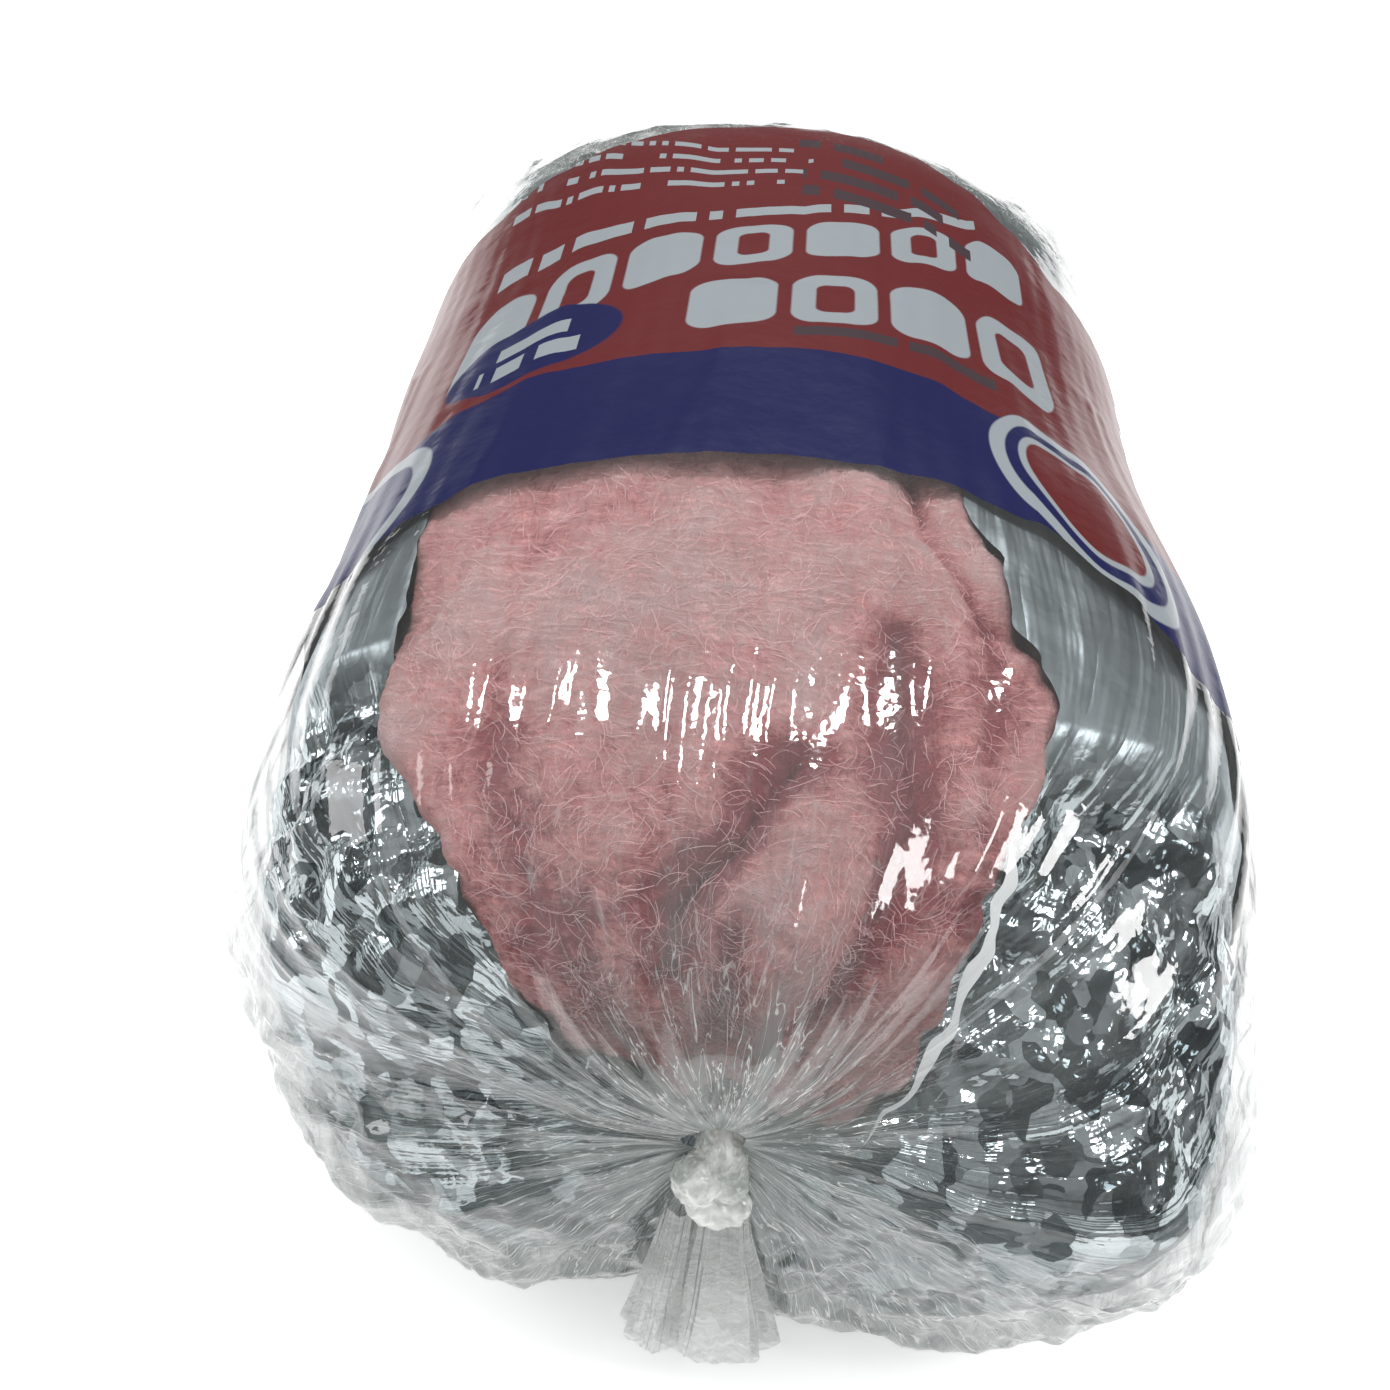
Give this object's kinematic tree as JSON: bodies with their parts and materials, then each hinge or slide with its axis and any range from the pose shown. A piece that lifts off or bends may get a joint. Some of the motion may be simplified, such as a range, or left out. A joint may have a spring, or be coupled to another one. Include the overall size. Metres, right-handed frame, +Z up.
{
  "type": "packed duct insulation sleeve",
  "caption": "Folded pink glass-wool duct sleeve with metallised film jacket, packed in a clear printed bag knotted at one end; lies flat to insulate round air ducts.",
  "frame": {"origin": "middle of the pack's footprint, on the surface it lies on", "axes": "+Z up, +Y along the pack toward its sealed end, the knotted end faces -Y, +X to the right seen from the knot"},
  "size_m": [0.351, 0.6, 0.2019],
  "materials": {
    "bag_film": "clear polyethylene film, wrinkled, with a printed red and blue band",
    "metallised_film": "thin metallised polyester film, crumpled, half bright and half dull grey",
    "glass_wool": "soft pink glass fibres, matted and fuzzy"
  },
  "bodies": {
    "root": {"poly_bag": "bag_film", "foil_jacket": "metallised_film", "wool_blanket": "glass_wool"}
  },
  "joints": []
}
